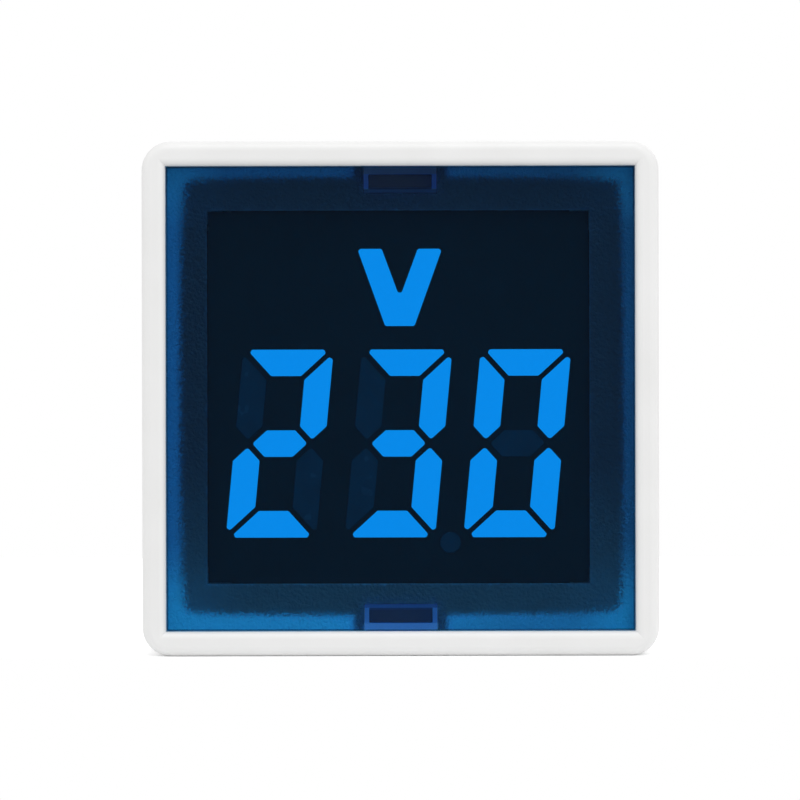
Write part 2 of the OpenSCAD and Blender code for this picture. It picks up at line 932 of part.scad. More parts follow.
// Display
module display_housing() {
    foot_x = (display_w - foot_d) / 2;
    foot_z = display_h / 2 - foot_d * 2;
    color(black_plastic)
        difference() {
            union() {
                slab(display_at, display_t)
                    translate([display_x, display_z])
                        square([display_w, display_h], center = true);
                slab(display_back, foot_h)
                    for (x = [-1, 1], z = [-1, 1])
                        translate([display_x + x * foot_x, display_z + z * foot_z])
                            circle(d = foot_d);
            }
            slab(display_at - over, segment_depth + over) {
                for (p = concat(segments(true), segments(false), [sign_points()]))
                    polygon(rounded(grown(p, resin_fit), segment_r + resin_fit));
                at(point_at)
                    circle(d = point_d + 2 * resin_fit);
            }
            slab(display_back - display_lead_in, display_lead_in + over)
                for (p = display_lead_places)
                    at(p)
                        circle(d = lead_d + 2 * resin_fit);
        }
}

module resin(outlines) {
    slab(display_at, segment_depth)
        for (p = outlines)
            polygon(rounded(p, segment_r));
}

module lit_segments() {
    color(lit_blue)
        resin(segments(true));
}

module dark_segments() {
    color(dark_resin)
        resin(segments(false));
}

module volt_sign() {
    color(lit_blue)
        resin([sign_points()]);
}

module decimal_point() {
    color(dark_resin)
        slab(display_at, segment_depth)
            at(point_at)
                circle(d = point_d);
}

module display_leads() {
    color(nickel)
        slab(display_back - display_lead_in, display_lead_in + foot_h + board_t + lead_tail)
            for (p = display_lead_places)
                at(p)
                    circle(d = lead_d);
}

// Board
module main_board() {
    notch = screw_in + screw_boss_d / 2 - wall - board_fit + notch_room;
    color(board_green)
        slab(board_at, board_t)
            difference() {
                square([board_w, board_h], center = true);
                for (x = [-1, 1], z = [-1, 1])
                    translate([x * board_w / 2, z * board_h / 2])
                        square(2 * notch, center = true);
                for (p = display_lead_places)
                    at(p)
                        circle(d = lead_d + 2 * lead_fit);
                for (p = part_leads)
                    at(p)
                        circle(d = part_lead_d + 2 * lead_fit);
                for (s = [-1, 1])
                    at([s * wire_x, wire_z])
                        circle(d = copper_d + 2 * lead_fit);
            }
}

// Two leads of a board part, from the board's front to a height above its back
module leads(places, height) {
    slab(board_at - lead_tail, lead_tail + board_t + height)
        for (p = places)
            at(p)
                circle(d = part_lead_d);
}

module film_capacitor() {
    film_r = 0.5;
    color(film_yellow)
        union() {
            slab(board_back, film_h)
                at(film_at)
                    round_rect(film_l, film_w, film_r);
            leads([part_leads[0], part_leads[1]], lead_into);
        }
}

module smoothing_capacitor() {
    color(can_blue)
        union() {
            translate([0, front_y + board_back, 0])
                turned(can_at[0], can_at[1])
                    difference() {
                        square([can_d / 2, can_h]);
                        translate([can_d / 2 + can_groove_r - can_groove_t, can_groove_h])
                            circle(can_groove_r);
                        translate([can_d / 2 - can_rim, can_h - can_rim])
                            square(can_rim + over);
                    }
            leads([part_leads[2], part_leads[3]], lead_into);
        }
}

module varistor() {
    color(disc_blue)
        union() {
            translate([disc_at[0], front_y + board_back + disc_lift + disc_d / 2, disc_at[1]])
                rotate([0, 90, 0])
                    cylinder(d = disc_d, h = disc_t, center = true);
            leads([part_leads[4], part_leads[5]], disc_lift + disc_d / 2);
        }
}

module fusible_resistor() {
    axis_y = front_y + board_back + fuse_lift + fuse_d / 2;
    color(fuse_green)
        union() {
            translate([fuse_at[0], axis_y, fuse_at[1]]) {
                cylinder(d = fuse_d * fuse_waist, h = fuse_l - fuse_cap_l, center = true);
                for (s = [-1, 1])
                    translate([0, 0, s * (fuse_l - fuse_cap_l) / 2])
                        cylinder(d = fuse_d, h = fuse_cap_l, center = true);
                cylinder(d = part_lead_d, h = fuse_lead_pitch + part_lead_d, center = true);
            }
            leads([part_leads[6], part_leads[7]], fuse_lift + fuse_d / 2 + part_lead_d / 2);
        }
}

// Moulded surface part: a body on short legs along two sides
module leaded_chip(place, size, legs) {
    pitch = legs[0];
    reach = legs[2];
    leg_w = pitch * smd_leg_share;
    slab(board_back + smd_lift, size[2])
        at(place)
            square([size[0], size[1]], center = true);
    for (i = [0 : legs[1] - 1], side = [0, 1])
        translate([place[0] + (i - (legs[1] - 1) / 2) * pitch, front_y + board_back, place[1]])
            mirror([0, 0, side]) {
                translate([-leg_w / 2, 0, size[1] / 2 - smd_leg_t])
                    cube([leg_w, smd_leg_t, reach + smd_leg_t]);
                translate([-leg_w / 2, 0, size[1] / 2 - smd_leg_t])
                    cube([leg_w, size[2] / 2, smd_leg_t]);
            }
}

module bridge_rectifier() {
    color(chip_black)
        leaded_chip(bridge_at, bridge_size, bridge_legs);
}

module zener_diode() {
    color(chip_black)
        leaded_chip(zener_at, zener_size, zener_legs);
}

module meter_chip() {
    color(chip_black)
        leaded_chip(meter_at, [chip_l, chip_w, chip_h], meter_legs);
}

module chips(places, h) {
    slab(board_back, h)
        for (p = places)
            at(p)
                square([smd_l, smd_w], center = true);
}

module chip_resistors() {
    color(chip_black)
        chips([
            for (i = [-resistors_each_side : resistors_each_side], s = [-1, 1])
                meter_at + [i * smd_pitch, s * resistor_row]
        ], resistor_h);
}

module chip_capacitors() {
    color(chip_tan)
        chips([for (i = [-1 : 1]) [i * smd_pitch, capacitor_z]], capacitor_h);
}

// Wire from a pin's cup, with two bends in a plane of Y and Z, to its hole in the board
wire_sides = 12;
bend_steps = 5;
strip_gap = 0.2;
wire_land = front_y + board_back;
wire_turn = acos(1 - wire_z / (2 * wire_bend));
wire_run = 2 * wire_bend * sin(wire_turn);
wire_start = (tail_in + wire_land + wire_run) / 2;

// Stations of the wire, each as Y, Z and the angle at which it climbs
wire_path = [
    [tail_in - strip_gap, 0, 0],
    for (i = [0 : bend_steps])
        let (a = wire_turn * i / bend_steps)
        [wire_start - wire_bend * sin(a), wire_bend * (1 - cos(a)), a],
    for (i = [bend_steps - 1 : -1 : 0])
        let (a = wire_turn * i / bend_steps)
        [wire_start - wire_run + wire_bend * sin(a), wire_z - wire_bend * (1 - cos(a)), a],
    [wire_land, wire_z, 0]
];

function wire_ring(p) = [
    for (k = [0 : wire_sides - 1])
        let (a = 360 * k / wire_sides, across = wire_d / 2 * cos(a), up = wire_d / 2 * sin(a))
        [across, p[0] + up * sin(p[2]), p[1] + up * cos(p[2])]
];

module wire(x) {
    last = len(wire_path) - 1;
    translate([x, 0, 0]) {
        polyhedron(
            points = [for (p = wire_path) each wire_ring(p)],
            faces = [
                [for (k = [0 : wire_sides - 1]) k],
                [for (k = [wire_sides - 1 : -1 : 0]) last * wire_sides + k],
                for (i = [0 : last - 1], k = [0 : wire_sides - 1])
                    let (n = (k + 1) % wire_sides, a = i * wire_sides, b = a + wire_sides)
                    each [[a + k, b + n, a + n], [a + k, b + k, b + n]]
            ]
        );
        along_y(tail_in + cup_t - strip_gap, tail_in - over, copper_d, 0);
        along_y(wire_land + over, wire_land - board_t, copper_d, wire_z);
    }
}

// Round bar along Y between two depths
module along_y(y0, y1, d, z) {
    translate([0, max(y0, y1), z])
        rotate([90, 0, 0])
            cylinder(d = d, h = abs(y1 - y0));
}

module live_wire() {
    color(wire_brown)
        wire(wire_x);
}

module neutral_wire() {
    color(wire_blue)
        wire(-wire_x);
}

front_case();
lens();
rear_cover();
cover_screws();
live_pin();
neutral_pin();
pin_clamp();
clamp_screw();
display_housing();
lit_segments();
dark_segments();
volt_sign();
decimal_point();
display_leads();
main_board();
film_capacitor();
smoothing_capacitor();
varistor();
fusible_resistor();
bridge_rectifier();
zener_diode();
meter_chip();
chip_resistors();
chip_capacitors();
live_wire();
neutral_wire();
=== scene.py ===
"""Plug-in voltmeter: finishes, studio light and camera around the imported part."""

import math
from types import SimpleNamespace

import bpy
import numpy as np
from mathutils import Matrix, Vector


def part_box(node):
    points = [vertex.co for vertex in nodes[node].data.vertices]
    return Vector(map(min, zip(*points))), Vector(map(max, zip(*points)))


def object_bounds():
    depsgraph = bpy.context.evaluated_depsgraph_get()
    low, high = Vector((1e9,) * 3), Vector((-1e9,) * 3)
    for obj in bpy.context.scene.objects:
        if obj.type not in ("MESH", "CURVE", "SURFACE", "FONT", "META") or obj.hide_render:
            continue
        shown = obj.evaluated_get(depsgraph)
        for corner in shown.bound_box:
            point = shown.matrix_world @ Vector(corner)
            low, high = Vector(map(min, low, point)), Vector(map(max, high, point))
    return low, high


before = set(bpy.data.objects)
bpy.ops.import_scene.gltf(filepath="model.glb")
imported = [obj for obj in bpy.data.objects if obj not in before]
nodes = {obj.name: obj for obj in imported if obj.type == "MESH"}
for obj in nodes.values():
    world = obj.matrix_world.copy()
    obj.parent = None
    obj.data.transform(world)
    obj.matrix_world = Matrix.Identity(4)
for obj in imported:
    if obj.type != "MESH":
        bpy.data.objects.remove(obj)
cad_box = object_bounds()

MM = 0.001

# Places taken from the frame
case_low, case_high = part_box("front_case")
lens_low, lens_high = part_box("lens")
display_low, display_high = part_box("display_housing")
FRONT_Y = case_low.y
FLOOR_Z = cad_box[0][2]
CASE_WIDTH = case_high.x - case_low.x

# Photograph: an image 800 pixels square in which the case is 517.5 pixels wide
IMAGE_PX = 800
CASE_PX = 517.5
CASE_MIDDLE_PX = (400.5, 398.5)
METRES_PER_PX = CASE_WIDTH / CASE_PX

# Camera: its distance from the front of the case, a slight roll and the width of its sensor in millimetres
CAMERA_DISTANCE = 0.8
CAMERA_ROLL = math.radians(0.12)
SENSOR_MM = 36.0

# Soft light of the room at four heights of its direction, from below the floor up to the zenith
SKY = ((-0.4, 0.8), (0.0, 0.95), (0.4, 1.1), (1.0, 0.78))

# Room that mirrors see: dark behind the camera, light elsewhere, with the change over these directions of Y
ROOM_LIGHT = (0.07, 0.75)
ROOM_WAYS = (-0.98, -0.3)

# Lamps: name, direction from the case, distance, and the brightness that each alone gives a white face
LAMPS = (
    ("top_box", (0.05, -0.5, 0.85), 0.7, 0.2),
    ("right_box", (0.5, -0.85, 0.1), 0.7, 0.07),
    ("back_box", (0.3, 0.8, 0.6), 0.6, 0.1),
)
LAMP_SIZE = 0.4

# Floor: it begins just in front of the case, runs back behind it and has a little light of its own
FLOOR_LIP = 1.0 * MM
FLOOR_DEPTH = 0.5
FLOOR_HALF_WIDTH = 0.4
FLOOR_GLOW = 0.28

# Lens: its plate, and a clear window a little larger than the display behind it
LENS_THICKNESS = 1.6 * MM
WINDOW_MARGIN = 0.09 * MM

# Lens: a latch above and below, with walls round a pry pocket and a hook that stands past the plate
LATCH_WIDTH = 7.05 * MM
LATCH_HEIGHT = 2.5 * MM
LATCH_SIDE = 0.5 * MM
LATCH_OUTER = 0.75 * MM
LATCH_INNER = 0.45 * MM
LATCH_FLOOR = 0.8 * MM
LATCH_HOOK = 0.38 * MM

# Lens: dark strip round the outside, painted shade at the gap to the bezel, and the skin by which a zone's
# limit keeps clear of the faces
EDGE_STRIP = 0.1 * MM
SKIN = 0.05 * MM

# Lens: inner edge of the bright rim in its border, painted light that stands in for the lit ledge behind,
# bowed out in the middle of each side, ragged and soft
RIM_REACH = (21.52 * MM, 21.34 * MM)
RIM_MIDDLE = (0.18 * MM, 0.21 * MM)
RIM_BOW = 0.8 * MM
RIM_BOW_POWER = 4.0
RIM_ROUND = 0.9 * MM
RIM_GRAIN = 0.22 * MM
RIM_RAGGED = 0.6 * MM
RIM_SOFT = 0.22 * MM

# Lens: where its zones begin and are full, along X or Z or in from the outside. Most of these zones place
# painted light or painted shade.
RIM_STARTS = (4.2 * MM, 5.2 * MM)
CORNER_IN = (6.0 * MM, 0.5 * MM)
LEFT_TO_RIGHT = (-20.0 * MM, 20.0 * MM)
LOWER_RIGHT_STARTS = (-3.0 * MM, 11.0 * MM)
LOWER_RIGHT_ENDS = (17.0 * MM, 21.5 * MM)
LOWER_PART = (-13.0 * MM, -21.0 * MM)
LOWER_BORDER = (-6.0 * MM, -18.0 * MM)

# Lens: light left after one pass through the window, the border, its rim, the latches and the edge. Beside
# the window and the border, these carry painted light and painted shade.
WINDOW_TINT = (0.085, 0.375, 0.66)
BORDER_TINT = (0.08, 0.32, 0.64)
# Painted light: the lower border is paler, as if more light reached it from above
LOWER_BORDER_PAINTED_LIGHT = (0.13, 0.56, 0.97)
# Painted light and painted shade on the rim: paler on the left, at the corners and below, darker on the
# right and at the lower right
LEFT_RIM_PAINTED_LIGHT = (0.085, 0.41, 0.74)
RIGHT_RIM_PAINTED_SHADE = (0.085, 0.345, 0.59)
CORNER_RIM_PAINTED_LIGHT = (0.13, 0.63, 1.0)
LOWER_RIM_PAINTED_LIGHT = (0.12, 0.65, 1.0)
LOWER_RIGHT_PAINTED_SHADE = (0.1, 0.48, 0.78)
# Painted light and shade on the latches: the lower latch paler where light falls, the upper walls darker in
# the bezel's shade
UPPER_LATCH_PAINTED_SHADE = (0.09, 0.27, 0.88)
UPPER_WALL_PAINTED_SHADE = (0.11, 0.24, 0.45)
UPPER_INNER_PAINTED_SHADE = (0.095, 0.32, 0.64)
LOWER_LATCH_PAINTED_LIGHT = (0.09, 0.4, 1.0)
# Painted shade: the dark edge darkens the gap between the lens and the bezel
EDGE_PAINTED_SHADE = (0.06, 0.25, 0.45)

# Lens: colours of the faces that scatter, and the share of the light that each zone scatters. The rim,
# corner and lower-wall shares are painted glow and painted sheen.
TIP_COLOUR = (0.5, 0.8, 1.0)
POCKET_COLOUR = (0.19, 0.29, 0.36)
TIP_SCATTER = 0.95
POCKET_SCATTER = 0.15
FROST_SCATTER = 0.03
# Painted glow: extra scatter over the rim, and more at its corners, stands in for the lit ledge behind the
# lens
RIM_PAINTED_GLOW = 0.45
CORNER_RIM_PAINTED_GLOW = 0.2
WALL_SCATTER = 0.032
# Painted sheen: more scatter on the front of the lower latch's walls, where more light falls
LOWER_WALL_PAINTED_SHEEN = 0.055
LOWER_OUTER_PAINTED_SHEEN = 0.11
INNER_WALL_SHARE = 0.5

# Lens: polish in front and on the window, frost behind the border
LENS_IOR = 1.45
POLISH = 0.03
FROST_ROUGH = (0.32, 0.45)
FROST_GRAIN = 0.28 * MM
FROST_DEPTH = 0.2 * MM


class Graph:
    """Node tree of a material or world, with short calls that add a node."""

    def __init__(self, owner):
        owner.use_nodes = True
        self.tree = owner.node_tree
        self.tree.nodes.clear()

    def add(self, kind, sockets=None, **settings):
        """New node with its settings; a socket gets a value or another node's output."""
        node = self.tree.nodes.new(kind)
        for key, value in settings.items():
            setattr(node, key, value)
        for key, value in (sockets or {}).items():
            if isinstance(value, bpy.types.NodeSocket):
                self.tree.links.new(value, node.inputs[key])
            else:
                node.inputs[key].default_value = value
        return node

    def math(self, operation, a, b=0.0, c=0.0):
        """Sum, product or other step of numbers or outputs."""
        return self.add("ShaderNodeMath", {0: a, 1: b, 2: c}, operation=operation).outputs[0]

    def span(self, value, low, high, start=0.3, end=0.7, smooth=False):
        """Low to high as the value goes from start to end, evenly or with soft ends, held beyond them."""
        sockets = {"Value": value, "From Min": start, "From Max": end, "To Min": low, "To Max": high}
        kind = "SMOOTHSTEP" if smooth else "LINEAR"
        return self.add("ShaderNodeMapRange", sockets, interpolation_type=kind).outputs[0]


class Recipe(Graph):
    """Node tree of one material that reads the Object coordinates."""

    def __init__(self, name):
        self.material = bpy.data.materials.new(name)
        super().__init__(self.material)
        self.output = self.add("ShaderNodeOutputMaterial")
        self.place = self.add("ShaderNodeTexCoord").outputs["Object"]

    def finish(self, shader):
        """Joins the last shader to the material's surface."""
        self.tree.links.new(shader, self.output.inputs["Surface"])
        return self.material

    def axes(self):
        """X, Y and Z of the Object coordinates."""
        split = self.add("ShaderNodeSeparateXYZ", {0: self.place})
        return split.outputs[0], split.outputs[1], split.outputs[2]

    def grain(self, size, detail=2.0, stretch=(1.0, 1.0, 1.0)):
        """Noise whose blotches are about size metres across, stretched along the axes."""
        scaled = self.add("ShaderNodeMapping", {"Vector": self.place, "Scale": stretch})
        sockets = {"Vector": scaled.outputs[0], "Scale": 1.0 / size, "Detail": detail}
        return self.add("ShaderNodeTexNoise", sockets).outputs["Fac"]

    def apart(self, value, mark):
        """Distance of a value from a mark, on either side."""
        return self.math("ABSOLUTE", self.math("SUBTRACT", value, mark))

    def over(self, value, limit):
        """One where the value is over the limit, nought elsewhere."""
        return self.math("GREATER_THAN", value, limit)

    def under(self, value, limit):
        """One where the value is under the limit, nought elsewhere."""
        return self.math("LESS_THAN", value, limit)

    def outside(self, mask):
        """What is left of one outside the mask."""
        return self.math("SUBTRACT", 1.0, mask)

    def either(self, a, b):
        """One where either mask is one."""
        return self.math("MAXIMUM", a, b)

    def both(self, *masks):
        """One where all the masks are one."""
        joined = masks[0]
        for mask in masks[1:]:
            joined = self.math("MULTIPLY", joined, mask)
        return joined

    def shades(self, fac, dark, light):
        """Colour between two shades, each a colour or another node's output."""
        sockets = {"Factor": fac}
        for key, shade in (("A", dark), ("B", light)):
            sockets[key] = shade if isinstance(shade, bpy.types.NodeSocket) else (*shade, 1.0)
        return self.add("ShaderNodeMix", sockets, data_type="RGBA").outputs["Result"]

    def relief(self, height, depth):
        """Bump whose height value stands depth metres proud."""
        return self.add("ShaderNodeBump", {"Height": height, "Distance": depth}).outputs["Normal"]

    def surface(self, **sockets):
        """Principled shader with the sockets named in words."""
        named = {key.replace("_", " "): value for key, value in sockets.items()}
        return self.add("ShaderNodeBsdfPrincipled", named).outputs[0]


def moulded(name, dark, light, rough=(0.34, 0.44), blotch=6.0 * MM, pore=0.25 * MM, depth=0.004 * MM):
    """Moulded plastic: two close shades in soft blotches and a fine pored skin."""
    mix = Recipe(name)
    pores = mix.grain(pore, detail=3.0)
    shader = mix.surface(
        Base_Color=mix.shades(mix.span(mix.grain(blotch), 0.0, 1.0), dark, light),
        Roughness=mix.span(pores, *rough),
        Normal=mix.relief(pores, depth),
    )
    return mix.finish(shader)


def glossy_coat(name, dark, light, rough=(0.18, 0.28), blotch=2.0 * MM, depth=0.02 * MM):
    """Dipped or sleeved part: a smooth coat of two close shades with a slight orange peel."""
    mix = Recipe(name)
    peel = mix.grain(blotch)
    shader = mix.surface(
        Base_Color=mix.shades(mix.span(peel, 0.0, 1.0), dark, light),
        Roughness=mix.span(peel, *rough),
        Normal=mix.relief(peel, depth),
    )
    return mix.finish(shader)


def plated(name, dark, light, rough, run=(1.0, 1.0, 1.0), line=0.05 * MM, bloom=1.5 * MM, depth=0.002 * MM):
    """Plated metal with a soft bloom and fine tool lines, which are long along an axis with a small run."""
    mix = Recipe(name)
    lines = mix.grain(line, detail=1.0, stretch=run)
    shader = mix.surface(
        Base_Color=mix.shades(mix.span(mix.grain(bloom), 0.0, 1.0), dark, light),
        Metallic=1.0,
        Roughness=mix.span(lines, *rough),
        Normal=mix.relief(lines, depth),
    )
    return mix.finish(shader)


def lit_resin(cloud=0.6 * MM):
    """Diffusing resin with the lamps behind it on."""
    mix = Recipe("resin_lit")
    clouds = mix.grain(cloud)
    shader = mix.surface(
        Base_Color=mix.shades(mix.span(clouds, 0.0, 1.0), (0.02, 0.06, 0.10), (0.03, 0.08, 0.13)),
        Roughness=mix.span(clouds, 0.4, 0.5),
        Emission_Color=(0.0, 0.55, 1.0, 1.0),
        Emission_Strength=1.26,
    )
    return mix.finish(shader)


def board_finish(weave_scale=700.0, seam=0.03, blotch=0.4 * MM, depth=0.01 * MM):
    """Solder mask over the weave of the board."""
    mix = Recipe("board_green")
    sockets = {"Vector": mix.place, "Scale": weave_scale, "Mortar Size": seam}
    weave = mix.add("ShaderNodeTexBrick", sockets).outputs["Fac"]
    shader = mix.surface(
        Base_Color=mix.shades(weave, (0.011, 0.029, 0.034), (0.016, 0.041, 0.048)),
        Roughness=mix.span(mix.grain(blotch), 0.3, 0.42),
        Normal=mix.relief(weave, depth),
    )
    return mix.finish(shader)


def painted_rim_zone(mix, x, z, half_length):
    """Painted bright rim of the border, painted light: one outside a bowed square with round corners and a
    ragged, soft edge.

    Each side of the square lies at its reach, less a bow that grows with the fourth power of the way along
    that side. The rim fades out beside the latches."""
    aside = mix.math("ABSOLUTE", x)
    aloft = mix.math("ABSOLUTE", z)
    past = []
    for across, along, middle, reach in zip((x, z), (aloft, aside), RIM_MIDDLE, RIM_REACH):
        bow = mix.math("POWER", mix.math("DIVIDE", along, half_length), RIM_BOW_POWER)
        beyond = mix.math("SUBTRACT", mix.apart(across, middle), reach)
        past.append(mix.math("ADD", beyond, mix.math("MULTIPLY", bow, RIM_BOW)))
    speckle = mix.span(mix.grain(RIM_GRAIN, detail=3.0), -RIM_RAGGED, RIM_RAGGED)
    ragged = mix.math("ADD", mix.math("SMOOTH_MAX", *past, RIM_ROUND), speckle)
    return mix.both(
        mix.span(ragged, 0.0, 1.0, -RIM_SOFT, RIM_SOFT),
        mix.span(aside, 0.0, 1.0, *RIM_STARTS),
    )


def lens_zones(mix):
    """Masks of the lens by place: one inside a zone, nought outside, with a ramp where a zone fades."""
    x, y, z = mix.axes()
    aside = mix.math("ABSOLUTE", x)
    aloft = mix.math("ABSOLUTE", z)
    middle = (display_low + display_high) / 2
    half = (display_high - display_low) / 2
    lens_side = lens_high.x
    lens_top = lens_high.z - LATCH_HOOK
    latch_foot = lens_top - LATCH_HEIGHT
    corner_starts, corner_full = CORNER_IN

    zone = SimpleNamespace()
    zone.behind = mix.over(y, lens_low.y + LENS_THICKNESS / 2)
    zone.border = mix.either(
        mix.over(mix.apart(x, middle.x), half.x + WINDOW_MARGIN),
        mix.over(mix.apart(z, middle.z), half.z + WINDOW_MARGIN),
    )
    zone.strip = mix.either(
        mix.over(aside, lens_side - EDGE_STRIP),
        mix.over(aloft, lens_top - EDGE_STRIP),
    )

    zone.latch = mix.both(
        mix.under(aside, LATCH_WIDTH / 2 + SKIN),
        mix.over(aloft, latch_foot - SKIN),
    )
    pocket = mix.both(
        mix.under(aside, LATCH_WIDTH / 2 - LATCH_SIDE + SKIN),
        mix.over(aloft, latch_foot + LATCH_INNER - SKIN),
        mix.under(aloft, lens_top - LATCH_OUTER + SKIN),
    )
    inward = mix.under(aloft, latch_foot + LATCH_INNER - SKIN)
    zone.pocket_floor = mix.both(pocket, mix.over(y, lens_high.y - LATCH_FLOOR - SKIN))
    zone.outer_wall = mix.both(zone.latch, mix.over(aloft, lens_top - LATCH_OUTER + SKIN))
    zone.inner_wall = mix.both(zone.latch, inward)
    zone.walls = mix.both(
        zone.latch,
        mix.outside(pocket),
        mix.span(inward, 1.0, INNER_WALL_SHARE, 0.0, 1.0),
    )
    zone.tips = mix.both(zone.walls, mix.over(y, lens_high.y - SKIN))

    # Painted light and shade: the rim, corner, left, lower and lower-right zones set where the tints and
    # scatter paint light and shade
    zone.rim = painted_rim_zone(mix, x, z, lens_side)
    zone.corner = mix.both(
        mix.span(aside, 0.0, 1.0, lens_side - corner_starts, lens_side - corner_full),
        mix.span(aloft, 0.0, 1.0, lens_top - corner_starts, lens_top - corner_full),
    )
    zone.left = mix.span(x, 1.0, 0.0, *LEFT_TO_RIGHT)
    zone.low = mix.span(z, 0.0, 1.0, *LOWER_PART, smooth=True)
    zone.high = mix.outside(zone.low)
    zone.low_border = mix.span(z, 0.0, 1.0, *LOWER_BORDER)
    zone.lower_right = mix.both(
        mix.span(x, 0.0, 1.0, *LOWER_RIGHT_STARTS),
        mix.span(x, 1.0, 0.0, *LOWER_RIGHT_ENDS),
    )
    return zone


def lens_tint(mix, zone):
    """Tint of the lens by zone, each laid over the ones before it. The rim, lower border, latch and edge
    layers are painted light and painted shade.
    """
    # Painted light and shade on the rim: paler on the left, at the corners and below, darker at the lower
    # right
    lower_rim_painted_light = mix.shades(zone.lower_right, LOWER_RIM_PAINTED_LIGHT, LOWER_RIGHT_PAINTED_SHADE)
    rim_painted_light = mix.shades(zone.left, RIGHT_RIM_PAINTED_SHADE, LEFT_RIM_PAINTED_LIGHT)
    rim_painted_light = mix.shades(zone.corner, rim_painted_light, CORNER_RIM_PAINTED_LIGHT)
    rim_painted_light = mix.shades(zone.low, rim_painted_light, lower_rim_painted_light)
    # Painted light: the border is paler towards its lower edge
    borders = mix.shades(zone.low_border, BORDER_TINT, LOWER_BORDER_PAINTED_LIGHT)
    # Painted light and shade: the lower latch paler, the upper walls darker
    latches = mix.shades(zone.low, UPPER_LATCH_PAINTED_SHADE, LOWER_LATCH_PAINTED_LIGHT)
    layers = (
        (zone.border, mix.shades(zone.rim, borders, rim_painted_light)),
        (zone.latch, latches),
        (mix.both(zone.outer_wall, zone.high), UPPER_WALL_PAINTED_SHADE),
        (mix.both(zone.inner_wall, zone.high), UPPER_INNER_PAINTED_SHADE),
        # painted shade at the gap to the bezel
        (zone.strip, EDGE_PAINTED_SHADE),
        (zone.tips, TIP_COLOUR),
        (zone.pocket_floor, POCKET_COLOUR),
    )
    tint = WINDOW_TINT
    for mask, colour in layers:
        tint = mix.shades(mask, tint, colour)
    return tint


def lens_finish():
    """Blue lens: polished in front and on the window, frosted and grainy on the border behind.

    A bright rim with a bowed, ragged inner edge runs round the border and scatters light: painted light
    that stands in for the lit ledge behind. It is painted brighter at the corners, on the left and below,
    and painted darker at the lower right. A thin strip round the outside is painted dark, as painted shade
    at the gap to the bezel. The latches carry painted light and shade: paler below, with a painted sheen on
    the front of the lower walls, and darker on the upper walls. The tips of their walls scatter much of the
    light, and the floors of their pockets, the front of the walls and the frost a little. Camera and bounce
    rays are refracted. Shadow rays pass straight through with the square root of the tint at each face, so
    that the lamps light the ledge behind the lens."""
    mix = Recipe("lens_blue")
    zone = lens_zones(mix)
    tint = lens_tint(mix, zone)
    in_front = mix.outside(zone.behind)
    frosted = mix.both(zone.border, zone.behind, mix.outside(zone.latch))
    # Painted glow: scatter over the rim stands in for the lit ledge behind
    rim_painted_glow = mix.both(frosted, zone.rim)
    front_walls = mix.both(zone.walls, in_front)
    # Painted glow and sheen: the rim, corner and lower-wall shares brighten those places
    shares = (
        (zone.tips, TIP_SCATTER),
        (zone.pocket_floor, POCKET_SCATTER),
        (frosted, FROST_SCATTER),
        (rim_painted_glow, RIM_PAINTED_GLOW),
        (mix.both(rim_painted_glow, zone.corner), CORNER_RIM_PAINTED_GLOW),
        (front_walls, WALL_SCATTER),
        (mix.both(front_walls, zone.low), LOWER_WALL_PAINTED_SHEEN),
        (mix.both(zone.outer_wall, in_front, zone.low), LOWER_OUTER_PAINTED_SHEEN),
    )
    scatter = 0.0
    for mask, share in shares:
        scatter = mix.math("ADD", scatter, mix.math("MULTIPLY", mask, share))

    grains = mix.grain(FROST_GRAIN)
    rough = mix.both(frosted, mix.span(grains, *FROST_ROUGH))
    shader = mix.surface(
        Base_Color=tint,
        Roughness=mix.math("ADD", rough, POLISH),
        IOR=LENS_IOR,
        Transmission_Weight=mix.outside(scatter),
        Normal=mix.relief(mix.both(frosted, grains), FROST_DEPTH),
    )
    one_face = mix.add("ShaderNodeGamma", {"Color": tint, "Gamma": 0.5}).outputs[0]
    through = mix.add("ShaderNodeBsdfTransparent", {"Color": one_face}).outputs[0]
    shadow_ray = mix.add("ShaderNodeLightPath").outputs["Is Shadow Ray"]
    return mix.finish(mix.add("ShaderNodeMixShader", {0: shadow_ray, 1: shader, 2: through}).outputs[0])


def floor_finish(blotch=3.0 * MM):
    """White floor: lit by the lamps, with a little light of its own for camera, mirror and glass rays."""
    mix = Recipe("floor_white")
    paper = mix.shades(mix.grain(blotch), (0.92, 0.92, 0.92), (0.94, 0.94, 0.94))
    matt = mix.add("ShaderNodeBsdfDiffuse", {"Color": paper}).outputs[0]
    rays = mix.add("ShaderNodeLightPath").outputs
    seen = mix.either(rays["Is Camera Ray"], rays["Is Transmission Ray"])
    seen = mix.either(seen, rays["Is Glossy Ray"])
    glow = mix.add("ShaderNodeEmission", {"Strength": mix.math("MULTIPLY", seen, FLOOR_GLOW)}).outputs[0]
    return mix.finish(mix.add("ShaderNodeAddShader", {0: matt, 1: glow}).outputs[0])


def dress(finish, *names):
    """Gives CAD nodes a finish through their own material slots."""
    for name in names:
        for slot in nodes[name].material_slots:
            slot.material = finish


def floor():
    """Flat sheet on a grid of two parameters, level with the foot of the part.

    x is the half width times the first, from side to side. y grows evenly with the second, from just in
    front of the case to the floor's depth behind that front."""
    count = 3
    u, v = np.meshgrid(np.linspace(-1.0, 1.0, count), np.linspace(0.0, 1.0, count))
    x = FLOOR_HALF_WIDTH * u
    y = FRONT_Y - FLOOR_LIP + (FLOOR_LIP + FLOOR_DEPTH) * v
    points = np.stack([x, y, np.full_like(x, FLOOR_Z)], axis=-1).reshape(-1, 3)
    row = np.arange(count - 1)
    first = (row[:, None] * count + row[None, :]).ravel()
    faces = np.stack([first, first + 1, first + count + 1, first + count], axis=-1)
    mesh = bpy.data.meshes.new("floor")
    mesh.from_pydata(points.tolist(), [], faces.tolist())
    mesh.materials.append(floor_finish())
    sheet = bpy.data.objects.new("floor", mesh)
    bpy.context.scene.collection.objects.link(sheet)


